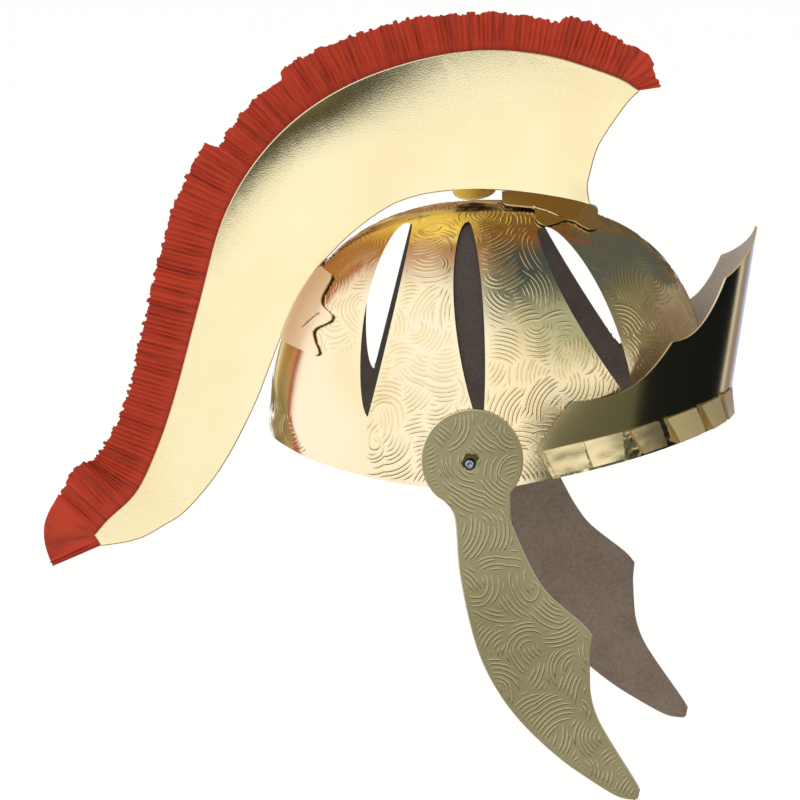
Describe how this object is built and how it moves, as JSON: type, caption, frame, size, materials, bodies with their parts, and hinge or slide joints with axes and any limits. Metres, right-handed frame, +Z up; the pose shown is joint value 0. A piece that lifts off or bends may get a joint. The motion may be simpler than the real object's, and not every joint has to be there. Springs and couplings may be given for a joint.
{
  "type": "roman helmet",
  "caption": "Costume Roman helmet of gold foil card: slotted dome crown, peaked visor, tall crest with a red crepe plume and swinging cheek guards.",
  "frame": {"origin": "centre of the head opening, level with the lowest part of the rim above the ears", "axes": "+Z up through the top of the crown, +X to the wearer's front, +Y to the wearer's left"},
  "size_m": [0.3544, 0.1792, 0.3761],
  "materials": {
    "crown_foil": "embossed gold foil on card",
    "visor_foil": "smooth gold foil on card",
    "crest_foil": "smooth pale gold foil on card",
    "guard_foil": "embossed gold foil on card",
    "raw_card": "raw grey brown card",
    "crepe_paper": "pleated red crepe paper",
    "rivet_steel": "blued steel"
  },
  "bodies": {
    "helmet": {"crown": "crown_foil", "visor": "visor_foil", "crest_board_right": "crest_foil", "crest_board_left": "crest_foil", "plume": "crepe_paper", "inner_strap": "raw_card", "rivet_right": "rivet_steel", "rivet_left": "rivet_steel"},
    "cheek_right": {"cheek_guard_right": "guard_foil"},
    "cheek_left": {"cheek_guard_left": "guard_foil"}
  },
  "joints": [
    {"name": "cheek_right_swing", "type": "hinge", "parent": "helmet", "child": "cheek_right", "pos_m": [-0.008, -0.0878, 0.013], "axis": [0, -1, 0], "range_deg": [-40, 80]},
    {"name": "cheek_left_swing", "type": "hinge", "parent": "helmet", "child": "cheek_left", "pos_m": [0.01, 0.0878, 0.013], "axis": [0, -1, 0], "range_deg": [-43, 77]}
  ]
}
